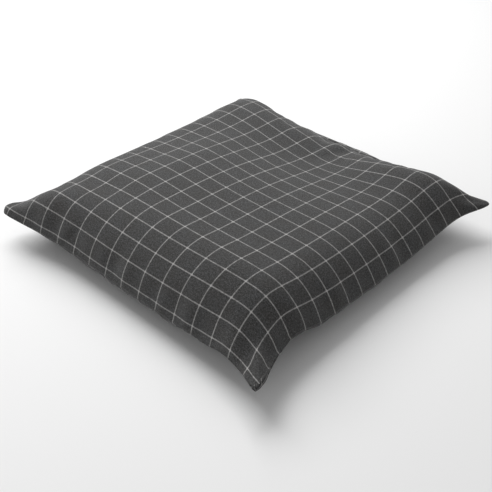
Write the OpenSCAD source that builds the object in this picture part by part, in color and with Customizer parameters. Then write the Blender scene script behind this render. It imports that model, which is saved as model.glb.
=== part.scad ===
// Square knife-edge floor cushion: a zipped cover over a filled inner pad.
// Millimetres. +Z is up, +X and +Y run along the sides, and the origin is on the floor
// under the middle of the cushion. The zip is in the seam of the -X side.

/* [Cover] */
// Corner tip to corner tip along X
cover_x = 590; // [500:5:700]
// Corner tip to corner tip along Y
cover_y = 582; // [500:5:700]
// Height of the corner tips above the floor
corner_height = 57; // [50:1:65]
// Thickness of the woven cloth
cover_cloth = 1.2; // [1:0.1:1.5]
// Width of the seam allowance, turned to the inside
cover_allowance = 12; // [8:1:14]

/* [Filled shape] */
// Rise of the top above the seam, at the middle
top_crown = 88; // [70:1:95]
// How much more the top is filled towards the -Y side
top_tilt = 0.3; // [0:0.05:0.5]
// Drop of the underside below the seam, before the floor flattens it
underside_belly = 90; // [80:1:110]
// Depth of the hollow left in the top
hollow_depth = 14; // [0:1:16]
// Radius of that hollow
hollow_radius = 95; // [60:5:120]

/* [Seam line] */
// How far the middle of the -Y side is drawn in
front_draw = 25; // [10:1:30]
// How far the middle of the -Y side hangs below its corners
front_sag = 28; // [10:1:32]
// How far the middle of the +Y side is drawn in
back_draw = 18; // [5:1:25]
// How far the middle of the +Y side hangs below its corners
back_sag = 10; // [0:1:12]
// How far the middle of the +X side is drawn in
right_draw = 23; // [5:1:25]
// How far the middle of the +X side hangs below its corners
right_sag = 15; // [5:1:20]
// How far the -X side is drawn in along the zip
left_draw = 22; // [12:1:24]
// How far the -X side hangs below its corners along the zip
left_sag = 20; // [10:1:24]

/* [Zip] */
// Length of the zip between its stops
zip_length = 400; // [300:10:400]
// Half of the width of the tape, from the middle of the chain
zip_tape_half = 12; // [10:0.5:12]
// Half of the slit that the cover leaves for the chain
zip_slit_half = 4.8; // [4.6:0.1:5.5]
// Half of the height of the flat band that the cover forms along the zip
zip_band_half = 10; // [10:0.5:12]
// Length of the slider
slider_length = 11; // [10:0.5:13]
// Width of the slider
slider_width = 8.4; // [8:0.1:8.6]
// Length of the pull from its pivot
pull_length = 27; // [20:1:32]

/* [Inner pad] */
// How far the pad's own seam lies inside the cover's seam
pad_inset = 24; // [22:1:30]
// Room between the cover's outside and the pad
pad_gap = 5; // [4.5:0.5:6]
// Thickness of the pad's cotton case
pad_cloth = 0.6; // [0.4:0.1:0.8]
// Width of the pad's seam allowance
pad_allowance = 8; // [6:1:9]

/* [Hidden] */
$fn = 32;

wool = "#47474a";
cotton = "#e8e4da";
thread = "#3a3a3d";
black = "#1d1d1f";
gunmetal = "#6c6d70";

half_x = cover_x / 2;
half_y = cover_y / 2;

// The grid of the cover: close stops near the rim, and stops at both ends of the zip slit.
grid_half = 10;
rim_density = 0.7;
shoulder = 0.9975;
slit_end = (zip_length / 2 + 3) / half_y;
slit_closed = slit_end + 5 / half_y;
ear_steps = 5;
slit_steps = 8;
pad_grid_half = 8;

function spread(s) = (1 - rim_density) * s + rim_density * sin(90 * s);
function spread_stops(n) =
    concat([-1, -shoulder], [for (k = [1 - n:n - 1]) spread(k / n)], [shoulder, 1]);
u_stops = spread_stops(grid_half);
ear_power = 1.6;
v_ear = concat(
    [1, shoulder],
    [for (k = [1:ear_steps - 1]) 1 - pow(k / ear_steps, ear_power) * (1 - slit_closed)]
);
v_slit = [for (k = [-slit_steps:slit_steps]) slit_end * k / slit_steps];
v_stops = concat(
    [for (v = v_ear) -v],
    [-slit_closed],
    v_slit,
    [slit_closed],
    [for (k = [len(v_ear) - 1:-1:0]) v_ear[k]]
);
pad_stops = spread_stops(pad_grid_half);

// Seam line. Along the zip it is straight and level, so the slider can run.
hold_end = slit_closed + 0.01;
function zip_hold(v) =
    abs(v) < hold_end ? 1 : 0.5 + 0.5 * cos(180 * (abs(v) - hold_end) / (1 - hold_end));
function slit_open(v) =
    min(1, max(0, (slit_closed - abs(v)) / (slit_closed - slit_end)));
function arc(t) = 1 - t * t;
draw_power = 4;
function drawn(t) = 1 - pow(t, draw_power);
function mix(a, b, t) = a * (1 - t) + b * t;
function left_z(v) = -left_sag * zip_hold(v);
function right_z(v) = -right_sag * arc(v);
function front_z(u) = -front_sag * arc(u);
function back_z(u) = -back_sag * arc(u);

// The seam line stretched across the cushion: every skin starts from this surface.
function mid_z(u, v) =
    corner_height
    + mix(left_z(v), right_z(v), (u + 1) / 2)
    + mix(front_z(u), back_z(u), (v + 1) / 2);
function plan_x(u, v) =
    u * (half_x - (u < 0 ? left_draw * zip_hold(v) : right_draw * drawn(v)));
function plan_y(u, v) = v * (half_y - drawn(u) * (v < 0 ? front_draw : back_draw));

// Height of the top above that surface, and depth of the underside below it.
hollow_x = 10;
hollow_y = 165;
function dome(u, v) = sqrt(max(0, arc(u) * arc(v)));
function hollow(u, v) =
    exp(-(pow(plan_x(u, v) - hollow_x, 2) + pow(plan_y(u, v) - hollow_y, 2))
        / pow(hollow_radius, 2));
band_fade = 0.75;
function band(u, v) =
    zip_band_half * zip_hold(v) * pow(max(0, (-u - band_fade) / (1 - band_fade)), 2);
function rise(u, v) =
    top_crown * dome(u, v) * (1 - top_tilt * v) - hollow_depth * hollow(u, v) * arc(v)
    + band(u, v);
function drop(u, v) = underside_belly * dome(u, v) + band(u, v);

// A skin: how far its rim is scaled in, its distance inside the cover's outside, its
// cloth, its allowance, and whether it is the cover.
COVER = [1, 0, cover_cloth, cover_allowance, true];
CASE = [1 - pad_inset / half_y, pad_gap, pad_cloth, pad_allowance, false];
function is_rim(u, v) = abs(u) == 1 || abs(v) == 1;
case_corner_power = 6;
function swell(u, v, skin) =
    skin[4] ? 1 : sqrt((1 - pow(u, case_corner_power)) * (1 - pow(v, case_corner_power)));
layers = 3.2;
seam_pile = layers * cover_cloth;
function half_depth(u, v, side) =
    side > 0 ? rise(u, v) + seam_pile : min(mid_z(u, v), drop(u, v) + seam_pile);
function lift(u, v, skin, side) =
    is_rim(u, v)
        ? 0
        : max(
            layers * skin[2],
            swell(u, v, skin) * (half_depth(u * skin[0], v * skin[0], side) - skin[1])
        );

// Points on the outside of a skin. side is 1 for the top and -1 for the underside.
function snapped(u, v, skin) = skin[4] && u < -0.99 && slit_open(v) > 0.99 ? -1 : u;
function slit(u, v, skin) = skin[4] && u == -1 ? zip_slit_half * slit_open(v) : 0;
function outer(u, v, skin, side) =
    let (su = snapped(u, v, skin) * skin[0], sv = v * skin[0])
    [
        plan_x(su, sv),
        plan_y(su, sv),
        max(0, mid_z(u * skin[0], sv) + side * (lift(u, v, skin, side) + slit(u, v, skin))),
    ];

// A point between the allowances: this far inside the seam, and z above the seam surface.
function in_seam(u, v, skin, inside, z) =
    let (p = outer(u, v, skin, 1))
    [
        p[0] - inside * u,
        p[1] - inside * v,
        mid_z(u * (skin[0] - inside / half_x), v * (skin[0] - inside / half_y)) + z,
    ];
function inner(u, v, skin, side) =
    let (p = outer(u, v, skin, side), c = skin[2])
    is_rim(u, v)
        ? in_seam(u, v, skin, c, side * (slit(u, v, skin) + c))
        : [p[0] - c * snapped(u, v, skin), p[1] - c * v, p[2] - side * c];

// The allowance runs inwards from the seam, and is turned back against the cloth at the zip.
function allowance(u, v, skin) =
    skin[4] && u == -1 ? mix(skin[3], skin[2], slit_open(v)) : skin[3];
function flange(u, v, skin, side, high) =
    in_seam(u, v, skin, allowance(u, v, skin), side * (slit(u, v, skin) + high));

// Faces of a grid of n_v points a row, of the belt between two loops, and round its border.
function turned(t, flip) = flip ? [t[2], t[1], t[0]] : t;
function grid_faces(n_u, n_v, first, flip) = [
    for (i = [0:n_u - 2], j = [0:n_v - 2], second = [0, 1])
        let (a = first + i * n_v + j, b = a + n_v)
        turned(second == 0 ? [a, b, b + 1] : [a, b + 1, a + 1], flip)
];
function belt_faces(low, high, flip) = [
    for (k = [0:len(low) - 1], second = [0, 1])
        let (n = (k + 1) % len(low))
        turned(second == 0 ? [low[k], low[n], high[n]] : [low[k], high[n], high[k]], flip)
];
function border(n_u, n_v) = concat(
    [for (i = [0:n_u - 2]) [i, 0]],
    [for (j = [0:n_v - 2]) [n_u - 1, j]],
    [for (i = [n_u - 1:-1:1]) [i, n_v - 1]],
    [for (j = [n_v - 1:-1:1]) [0, j]]
);

// One panel: outside, inside, and the allowance that joins them along the seam.
module panel(skin, us, vs, side) {
    n_u = len(us);
    n_v = len(vs);
    rim = border(n_u, n_v);
    outside = [for (u = us, v = vs) outer(u, v, skin, side)];
    inside = [for (u = us, v = vs) inner(u, v, skin, side)];
    low = [for (b = rim) flange(us[b[0]], vs[b[1]], skin, side, 0)];
    high_of = [for (b = rim) slit(us[b[0]], vs[b[1]], skin) > 0 ? skin[2] / 2 : skin[2]];
    high = [for (k = [0:len(rim) - 1])
        flange(us[rim[k][0]], vs[rim[k][1]], skin, side, high_of[k])];
    n = n_u * n_v;
    outer_loop = [for (b = rim) b[0] * n_v + b[1]];
    inner_loop = [for (k = outer_loop) n + k];
    low_loop = [for (k = [0:len(rim) - 1]) 2 * n + k];
    high_loop = [for (k = low_loop) k + len(rim)];
    faces = concat(
        belt_faces(low_loop, high_loop, false),
        belt_faces(outer_loop, low_loop, false),
        belt_faces(high_loop, inner_loop, false),
        grid_faces(n_u, n_v, 0, true),
        grid_faces(n_u, n_v, n, false)
    );
    polyhedron(
        concat(outside, inside, low, high),
        [for (f = faces) turned(f, side < 0)]
    );
}

// A closed solid between two grids, the first above the second.
module between(above, below, n_u, n_v) {
    n = n_u * n_v;
    loop = [for (b = border(n_u, n_v)) b[0] * n_v + b[1]];
    faces = concat(
        grid_faces(n_u, n_v, 0, true),
        grid_faces(n_u, n_v, n, false),
        belt_faces([for (k = loop) n + k], loop, true)
    );
    polyhedron(concat(above, below), faces);
}

// A thread laid along a seam, at a distance inside it, from a height of low and this high.
module laid_thread(route, skin, inside, low, high, wide = thread_size) {
    function at(p, w, z) = in_seam(p[0], p[1], skin, w, z);
    above = [for (p = route, w = [inside + wide, inside]) at(p, w, low + high)];
    below = [for (p = route, w = [inside + wide, inside]) at(p, w, low)];
    between(above, below, len(route), 2);
}

// The cover's seam, from one end of the zip round to the other.
v_beyond = [for (v = v_stops) if (v > slit_closed) v];
n_beyond = len(v_beyond);
seam_route = concat(
    [for (v = v_beyond) [-1, v]],
    [for (k = [1:len(u_stops) - 1]) [u_stops[k], 1]],
    [for (k = [len(v_stops) - 2:-1:0]) [1, v_stops[k]]],
    [for (k = [len(u_stops) - 2:-1:0]) [u_stops[k], -1]],
    [for (k = [n_beyond - 2:-1:0]) [-1, -v_beyond[k]]]
);
// The pad's seam, with the short gap where its closing stitch is tied off.
pad_last = len(pad_stops) - 1;
pad_route = concat(
    [for (k = [pad_last / 2:pad_last]) [-1, pad_stops[k]]],
    [for (k = [1:pad_last]) [pad_stops[k], 1]],
    [for (k = [pad_last - 1:-1:0]) [1, pad_stops[k]]],
    [for (k = [pad_last - 1:-1:0]) [pad_stops[k], -1]],
    [for (k = [1:pad_last / 2 - 1]) [-1, pad_stops[k]]]
);

module cover_top() {
    color(wool) panel(COVER, u_stops, v_stops, 1);
}

module cover_bottom() {
    color(wool) panel(COVER, u_stops, v_stops, -1);
}

// Needle thread above the two allowances and bobbin thread below them.
stitch_out = 3.4;
thread_size = 0.35;
thread_room = 0.2;
module cover_seam_thread() {
    low = cover_cloth + thread_room;
    color(thread) {
        laid_thread(seam_route, COVER, stitch_out, low, thread_size);
        laid_thread(seam_route, COVER, stitch_out, -low - thread_size, thread_size);
    }
}

// Overlocking along the raw edges of both allowances.
module cover_overlock_thread() {
    start = cover_allowance + thread_room;
    color(thread)
        laid_thread(seam_route, COVER, start, -cover_cloth, 2 * cover_cloth);
}

// The zip. Inside on_zip(), x runs along it towards the closed end, y across it downwards,
// and z out of the cushion from the face of the tape.
tape_face_x = half_x - left_draw - cover_cloth;
zip_z = corner_height - left_sag;
module on_zip() {
    translate([-tape_face_x, 0, zip_z]) rotate([0, -90, 0]) rotate([0, 0, 90]) children();
}

tape_thick = 0.5;
tape_edge = 0.55;
tape_length = zip_length + 4;
module zip_tape(side) {
    wide = zip_tape_half - tape_edge;
    color(black)
        on_zip()
            translate([-tape_length / 2, side > 0 ? -zip_tape_half : tape_edge, -tape_thick])
                cube([tape_length, wide, tape_thick]);
}

module zip_tape_upper() {
    zip_tape(1);
}

module zip_tape_lower() {
    zip_tape(-1);
}

// Each row of the coil is one rounded bar here: a flat middle with half-round edges.
coil_high = 2.1;
coil_inner = 0.5;
coil_outer = 2.6;
stop_length = 3.2;
bottom_stop_length = 4;
coil_clear = 0.2;
module zip_coil(side) {
    round_r = (coil_outer - coil_inner) / 2;
    start = -zip_length / 2 + bottom_stop_length + coil_clear;
    length = zip_length - bottom_stop_length - stop_length - 2 * coil_clear;
    color(black)
        on_zip()
            translate([start, -side * (coil_inner + round_r), 0])
                rotate([90, 0, 90])
                    linear_extrude(length) {
                        translate([-round_r, 0]) square([2 * round_r, coil_high - round_r]);
                        translate([0, coil_high - round_r]) circle(round_r);
                    }
}

module zip_coil_upper() {
    zip_coil(1);
}

module zip_coil_lower() {
    zip_coil(-1);
}

// A slab with rounded corners, centred in x and y, standing on z = 0.
module rounded_slab(length, width, high, r) {
    translate([-length / 2, r - width / 2, 0]) cube([length, width - 2 * r, high]);
    translate([r - length / 2, -width / 2, 0]) cube([length - 2 * r, width, high]);
    for (x = [-1, 1], y = [-1, 1])
        translate([x * (length / 2 - r), y * (width / 2 - r), 0]) cylinder(h = high, r = r);
}

stop_high = 2.4;
module zip_top_stops() {
    middle = (coil_inner + coil_outer) / 2;
    color(gunmetal)
        on_zip()
            for (side = [-1, 1])
                translate([zip_length / 2 - stop_length / 2, side * middle, 0])
                    rounded_slab(stop_length, coil_outer - coil_inner, stop_high, 0.6);
}

module zip_bottom_stop() {
    color(gunmetal)
        on_zip()
            translate([-zip_length / 2 + bottom_stop_length / 2, 0, 0])
                rounded_slab(bottom_stop_length, 2 * coil_outer + 0.8, stop_high, 0.8);
}

// A row of stitches on the face of the cover, through the tape behind it.
zip_stitch_pitch = 4;
zip_stitch_length = 3.2;
zip_stitch_y = 7.5;
zip_stitch_size = 0.45;
module zip_stitching(side) {
    count = floor(zip_length / zip_stitch_pitch);
    color(thread)
        on_zip()
            for (k = [0:count - 1])
                translate([
                    (k + 0.5 - count / 2) * zip_stitch_pitch - zip_stitch_length / 2,
                    -side * zip_stitch_y - zip_stitch_size / 2,
                    cover_cloth
                ])
                    cube([zip_stitch_length, zip_stitch_size, zip_stitch_size]);
}

module zip_stitching_upper() {
    zip_stitching(1);
}

module zip_stitching_lower() {
    zip_stitching(-1);
}

// A bar of dense stitches across each end of the slit.
bartack_wide = 1.6;
bartack_long = 15;
bartack_high = 0.6;
module zip_bartacks() {
    color(thread)
        on_zip()
            for (end = [-1, 1])
                translate([end * (zip_length / 2 + 5), 0, cover_cloth])
                    translate([-bartack_wide / 2, -bartack_long / 2, 0])
                        cube([bartack_wide, bartack_long, bartack_high]);
}

// The slider: two plates joined by a thin wedge that runs between the coil rows, side lips
// that hold the tape, and the bridge that the pull hangs on.
slider_clear = 0.3;
plate_thick = 1;
wedge_half = 0.2;
wedge_length = 2.6;
lip_wide = 1.2;
bridge_wide = 1.6;
bridge_half = 3;
bridge_post = 1;
bridge_top = 0.8;
bridge_room = 1.9;
outer_plate_z = coil_high + slider_clear;
bridge_base_z = outer_plate_z + plate_thick;
pin_r = 0.6;
pin_z = bridge_base_z + bridge_room / 2;
slider_x = zip_length / 2 - stop_length - 0.5 - slider_length / 2;
module zip_slider() {
    inner_plate_z = -tape_thick - slider_clear - plate_thick;
    bridge_z = bridge_room + bridge_top;
    color(gunmetal)
        on_zip()
            translate([slider_x, 0, 0]) {
                translate([0, 0, outer_plate_z])
                    rounded_slab(slider_length, slider_width, plate_thick, 1.6);
                translate([0, 0, inner_plate_z])
                    rounded_slab(slider_length, slider_width, plate_thick, 1.6);
                for (side = [0, 1])
                    mirror([0, side, 0])
                        translate([
                            1.6 - slider_length / 2, slider_width / 2 - lip_wide, slider_clear
                        ])
                            cube([
                                slider_length - 3.2,
                                lip_wide,
                                outer_plate_z - slider_clear + plate_thick / 2
                            ]);
                translate([
                    slider_length / 2 - wedge_length - 0.8,
                    -wedge_half,
                    inner_plate_z + plate_thick / 2
                ])
                    cube([
                        wedge_length,
                        2 * wedge_half,
                        outer_plate_z - inner_plate_z
                    ]);
                for (end = [0, 1])
                    mirror([end, 0, 0])
                        translate([
                            bridge_half - bridge_post, -bridge_wide / 2, bridge_base_z - 0.3
                        ])
                            cube([bridge_post, bridge_wide, bridge_z + 0.3]);
                translate([-bridge_half, -bridge_wide / 2, bridge_base_z + bridge_room])
                    cube([2 * bridge_half, bridge_wide, bridge_top]);
            }
}

// The pull: a pin under the bridge, two arms beside it and a slim tab with a slot.
arm_inner = 1.15;
arm_outer = 2.3;
arm_reach = 4.6;
tab_thick = 1.2;
tab_width = 6;
tab_slot_length = 11;
tab_slot_width = 2.4;
module zip_pull() {
    tab_length = pull_length - arm_reach + 1;
    color(gunmetal)
        on_zip()
            translate([slider_x, 0, pin_z]) {
                rotate([90, 0, 0])
                    cylinder(h = 2 * arm_outer, r = pin_r, center = true);
                for (side = [0, 1])
                    mirror([0, side, 0])
                        translate([-arm_reach, arm_inner, -tab_thick / 2])
                            cube([arm_reach, arm_outer - arm_inner, tab_thick]);
                difference() {
                    translate([1 - arm_reach - tab_length / 2, 0, -tab_thick / 2])
                        rounded_slab(tab_length, tab_width, tab_thick, 1.8);
                    translate([-arm_reach - tab_length / 2, 0, -tab_thick])
                        rounded_slab(tab_slot_length, tab_slot_width, 2 * tab_thick, 1.19);
                }
            }
}

module pad_case_top() {
    color(cotton) panel(CASE, pad_stops, pad_stops, 1);
}

module pad_case_bottom() {
    color(cotton) panel(CASE, pad_stops, pad_stops, -1);
}

pad_stitch_in = 3;
pad_thread_size = 0.2;
pad_thread_room = 0.32;
module pad_seam_thread() {
    low = pad_cloth + pad_thread_room;
    color(cotton)
        laid_thread(pad_route, CASE, pad_stitch_in, low, pad_thread_size, pad_thread_size);
}

// The loose filling: one soft solid inside the case.
filling_inset = pad_inset + pad_allowance + 10;
filling_gap = pad_gap + pad_cloth + 4;
FILLING = [1 - filling_inset / half_y, filling_gap, pad_cloth, 0, false];
filling_rim = 1;
module pad_filling() {
    function at(u, v, side) =
        let (p = outer(u, v, FILLING, side)) [p[0], p[1], p[2] + side * filling_rim];
    n = len(pad_stops);
    color("#f4f2ec")
        between(
            [for (u = pad_stops, v = pad_stops) at(u, v, 1)],
            [for (u = pad_stops, v = pad_stops) at(u, v, -1)],
            n,
            n
        );
}

// A blank care label caught in the seam of the +Y side, lying against the underside panel.
label_width = 26;
label_length = 24;
label_thick = 0.4;
label_room = 1.9;
label_u = -0.7;
label_steps = 6;
module care_label() {
    function at(s, t, high) =
        let (
            v = 1 - (cover_allowance + 3 + label_length * t) / half_y,
            u = label_u + s * label_width / half_x,
            p = inner(u, v, COVER, -1)
        )
        [p[0], p[1], p[2] + label_room + high];
    steps = [0:1 / label_steps:1];
    n = label_steps + 1;
    color(cotton)
        between(
            [for (s = steps, t = steps) at(s, t, label_thick)],
            [for (s = steps, t = steps) at(s, t, 0)],
            n,
            n
        );
}

cover_top();
cover_bottom();
cover_seam_thread();
cover_overlock_thread();
zip_tape_upper();
zip_tape_lower();
zip_coil_upper();
zip_coil_lower();
zip_top_stops();
zip_bottom_stop();
zip_stitching_upper();
zip_stitching_lower();
zip_bartacks();
zip_slider();
zip_pull();
pad_case_top();
pad_case_bottom();
pad_seam_thread();
pad_filling();
care_label();
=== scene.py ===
"""A square knife-edge floor cushion in checked wool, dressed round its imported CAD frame.

Sizes are in millimetres until a mesh is made, which is in metres. +X runs from the left corner
to the front corner, +Y from the front corner to the right corner, and the zip is in the seam
of the -X side. Each cover panel starts as a flat square of cloth, is laid over the filled
shape, and is then inflated with Blender's Cloth.
"""

import math

import bpy
import numpy as np
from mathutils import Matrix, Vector


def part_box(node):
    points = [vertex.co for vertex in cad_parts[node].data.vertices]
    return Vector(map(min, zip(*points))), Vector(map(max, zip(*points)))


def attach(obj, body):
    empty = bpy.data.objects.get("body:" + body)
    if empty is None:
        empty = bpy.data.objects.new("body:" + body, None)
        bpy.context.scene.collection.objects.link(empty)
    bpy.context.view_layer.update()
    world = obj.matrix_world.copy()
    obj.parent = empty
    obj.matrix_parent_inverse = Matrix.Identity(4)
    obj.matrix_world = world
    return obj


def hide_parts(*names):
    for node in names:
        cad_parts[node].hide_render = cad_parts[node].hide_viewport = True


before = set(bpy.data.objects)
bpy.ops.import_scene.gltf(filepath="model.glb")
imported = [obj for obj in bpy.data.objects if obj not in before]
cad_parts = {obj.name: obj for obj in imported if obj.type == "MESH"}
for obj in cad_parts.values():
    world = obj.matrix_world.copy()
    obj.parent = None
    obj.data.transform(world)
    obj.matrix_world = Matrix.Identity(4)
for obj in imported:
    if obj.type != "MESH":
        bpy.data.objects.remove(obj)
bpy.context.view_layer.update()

MM = 0.001

# --- Cover panels ---
PANEL = 600.0  # a panel's side, from seam to seam
ALLOWANCE = 12.0
CLOTH_THICK = 0.7
CELLS = 96  # grid cells along a panel's side
LAY_LEVELS = (24, 48, CELLS)  # the cloth is laid on these grids in turn
LAY_STEPS = (500, 300, 200)

# --- Corner tips, with z from the level of the ears ---
EAR_LEVEL = 57.0
HALF_X, HALF_Y = 295.0, 291.0
LEFT_EAR = (-302.0, -295.0, -1.0)
FRONT_EAR = (295.0, -290.0, -4.0)
RIGHT_EAR = (297.0, 292.0, 4.5)
BACK_EAR = (-284.0, 279.0, -11.0)

# --- Seams: how far the middle is drawn in and hangs, and how soon it is from each end ---
FRONT_DRAW, FRONT_SAG, FRONT_POWERS = 24.0, 17.0, (4.0, 10.0, 2.0)
RIGHT_DRAW, RIGHT_SAG, RIGHT_POWERS = 28.5, 22.0, (9.0, 12.0, 3.0)
RIGHT_SAG_BACK = 0.6  # how much more the seam hangs towards the right ear
# Where the seam is nipped in by the front ear: (place from -1 to 1, width), and by how much.
FRONT_TUCK, FRONT_NIP = (0.72, 0.08), 4.0
RIGHT_TUCK, RIGHT_NIP = (-0.61, 0.13), 7.0
RIGHT_NIP_IN = 0.7  # how far the nip goes inwards, as a share of how far it goes up
BACK_DRAW, BACK_SAG, BACK_POWERS = 20.0, -9.0, (4.0, 4.0)
SAG_POWERS, NIP_POWERS = (2, 2), (8, 8)
FRONT_SAG_SPREAD = 0.8  # under 1, the front seam hangs evenly over more of its length
SEAM_SAMPLES = 401  # points on a seam where its length is measured

# --- The filled top: a crown with steep walls, and where the filling has shifted ---
CROWN = 79.0
CROWN_TO_RIGHT, CROWN_TO_BACK = -12.0, -11.0
# How far the walls reach in before the top is level: left, right, front and back.
WALL_REACH, WALL_POWER = (212.0, 205.0, 205.0, 170.0), 6.4
# Each is (x, y, radius along x, radius along y, height).
SHIFTED_FILLING = (
    (-5.0, 180.0, 190.0, 130.0, -35.0),
    (-170.0, -180.0, 95.0, 40.0, -11.0),
    (-195.0, 15.0, 60.0, 175.0, -16.0),
    (200.0, 235.0, 80.0, 55.0, 13.0),
    (30.0, 212.0, 55.0, 50.0, -10.0),
    (-182.0, 262.0, 50.0, 35.0, 11.0),
)
# The cloth is pinched flat at each ear: its place, then how flat it is and how far in.
EAR_FLATS = {
    (-1, -1): (0.5, 60.0),
    (1, -1): (0.75, 110.0),
    (1, 1): (0.1, 50.0),
    (-1, 1): (0.3, 50.0),
}
# --- The underside, which the floor flattens ---
BELLY, BELLY_REACH, BELLY_POWER = 95.0, 230.0, 3.0

# --- The zip, from the CAD ---
slit_low, slit_high = (Vector(c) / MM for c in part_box("zip_bartacks"))
ZIP_X = slit_high.x  # the face of the cover along the zip
ZIP_Z = (slit_low.z + slit_high.z) / 2 - EAR_LEVEL
SLIT_HALF = 4.8  # half of the slit's height
SLIT_END = slit_high.y - 2.0  # the bartacks end 2 mm past the slit
SLIT_TAPER = 6.0  # the length over which the slit closes at each end
HOLD_END = SLIT_END / HALF_Y + 0.01  # how far along its side the zip keeps the seam straight
ZIP_BAND = 6.25  # the cloth beside the slit that stands upright along the tape


# ---------------------------------------------------------------- the seam line
def off_ends(t, low, high, straight=1.0):
    """1 in the middle of a side and 0 at its ends, with a power for each half.

    The higher straight is, the longer the seam runs straight on from each ear.
    """
    t = np.clip(t, -1, 1)
    return (1 - np.where(t < 0, np.abs(t) ** low, np.abs(t) ** high)) ** straight


def tuck(t, at, wide):
    """1 at a place along a side where the seam is nipped in, falling off on both sides."""
    return np.exp(-(((t - at) / wide) ** 2))


def held_by_zip(y):
    """1 along the zip, where the seam is straight and level, falling to 0 at the corners."""
    a = np.abs(np.clip(y / HALF_Y, -1, 1))
    return np.where(a < HOLD_END, 1, 0.5 + 0.5 * np.cos(np.pi * (a - HOLD_END) / (1 - HOLD_END)))


def along(t, start, end):
    """Points on the straight line between two corners, for t from -1 to 1."""
    k = (np.asarray(t, float)[..., None] + 1) / 2
    return np.array(start) * (1 - k) + np.array(end) * k


def front_seam(t):
    p = along(t, LEFT_EAR, FRONT_EAR)
    p[..., 1] += FRONT_DRAW * off_ends(t, *FRONT_POWERS)
    p[..., 2] -= FRONT_SAG * off_ends(t, *SAG_POWERS) ** FRONT_SAG_SPREAD
    nip = tuck(t, *FRONT_TUCK) * off_ends(t, *NIP_POWERS)
    p[..., 2] += FRONT_NIP * nip
    return p


def right_seam(t):
    p = along(t, FRONT_EAR, RIGHT_EAR)
    p[..., 0] -= RIGHT_DRAW * off_ends(t, *RIGHT_POWERS)
    p[..., 2] -= RIGHT_SAG * off_ends(t, *SAG_POWERS) * (1 + RIGHT_SAG_BACK * t)
    nip = tuck(t, *RIGHT_TUCK) * off_ends(t, *NIP_POWERS)
    p[..., 0] -= RIGHT_NIP_IN * RIGHT_NIP * nip
    p[..., 2] += RIGHT_NIP * nip
    return p


def back_seam(t):
    p = along(t, BACK_EAR, RIGHT_EAR)
    p[..., 1] -= BACK_DRAW * off_ends(t, *BACK_POWERS)
    p[..., 2] -= BACK_SAG * off_ends(t, *SAG_POWERS)
    return p


def left_seam(t):
    p = along(t, LEFT_EAR, BACK_EAR)
    hold = held_by_zip(p[..., 1])
    p[..., 0] += (ZIP_X - p[..., 0]) * hold
    p[..., 2] += (ZIP_Z - p[..., 2]) * hold
    return p


def side_at(across, low, high):
    """A side's place for a coordinate along it, from its corner coordinates."""
    return np.clip(2 * (across - low) / (high - low) - 1, -1, 1)


def seam_box(x, y):
    """The four seam points that face the point (x, y): left, right, front and back."""
    left = left_seam(side_at(y, LEFT_EAR[1], BACK_EAR[1]))
    right = right_seam(side_at(y, FRONT_EAR[1], RIGHT_EAR[1]))
    front = front_seam(side_at(x, LEFT_EAR[0], FRONT_EAR[0]))
    back = back_seam(side_at(x, BACK_EAR[0], RIGHT_EAR[0]))
    return left, right, front, back


# ---------------------------------------------------------------- the filled shape
def wall(distance, reach, power):
    """How much of the full height the filling has at a distance in from a seam."""
    return 1 - np.clip(1 - distance / reach, 0, 1) ** power


def levels(x, y):
    """At (x, y): the level that the seams set, and the shares of the top and the underside."""
    left, right, front, back = seam_box(x, y)
    d = (
        np.maximum(x - left[..., 0], 0),
        np.maximum(right[..., 0] - x, 0),
        np.maximum(y - front[..., 1], 0),
        np.maximum(back[..., 1] - y, 0),
    )
    across = d[0] / np.maximum(d[0] + d[1], 1)
    over = d[2] / np.maximum(d[2] + d[3], 1)
    sides = left[..., 2] * (1 - across) + right[..., 2] * across
    ends = front[..., 2] * (1 - over) + back[..., 2] * over
    corners = (
        (LEFT_EAR[2] * (1 - across) + FRONT_EAR[2] * across) * (1 - over)
        + (BACK_EAR[2] * (1 - across) + RIGHT_EAR[2] * across) * over
    )
    top = np.prod([wall(k, reach, WALL_POWER) for k, reach in zip(d, WALL_REACH)], axis=0)
    under = np.prod([wall(k, BELLY_REACH, BELLY_POWER) for k in d], axis=0)
    for (far_x, far_y), (flat, reach) in EAR_FLATS.items():
        from_tip = np.hypot(x - far_x * HALF_X, y - far_y * HALF_Y)
        pinched = 1 - flat * np.exp(-((from_tip / reach) ** 2))
        top, under = top * pinched, under * pinched
    return sides + ends - corners, top, under


def top_height(x, y):
    seam_level, share, _ = levels(x, y)
    crown = CROWN + CROWN_TO_RIGHT * x / HALF_X + CROWN_TO_BACK * y / HALF_Y
    height = seam_level + crown * share
    for at_x, at_y, radius_x, radius_y, lump in SHIFTED_FILLING:
        height = height + lump * np.sqrt(share) * np.exp(
            -(((x - at_x) / radius_x) ** 2) - ((y - at_y) / radius_y) ** 2
        )
    return EAR_LEVEL + height


def under_height(x, y):
    seam_level, _, share = levels(x, y)
    return np.maximum(EAR_LEVEL + seam_level - BELLY * share, 0)


# ---------------------------------------------------------------- laying the cloth
def fabric_grid(cells):
    """Fabric coordinates of a panel's grid points, in mm from its middle."""
    s = np.linspace(-PANEL / 2, PANEL / 2, cells + 1)
    return np.meshgrid(s, s, indexing="ij")


def distances(path):
    return np.concatenate([[0], np.cumsum(np.linalg.norm(np.diff(path, axis=0), axis=1))])


def points_at(path, places):
    at = distances(path)
    return np.stack([np.interp(places, at, path[:, k]) for k in range(3)], axis=-1)


def evenly(seam, cells):
    """Points along a seam, as evenly spaced as the cloth's own grid points."""
    path = seam(np.linspace(-1, 1, SEAM_SAMPLES))
    return points_at(path, np.linspace(0, distances(path)[-1], cells + 1))


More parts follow.
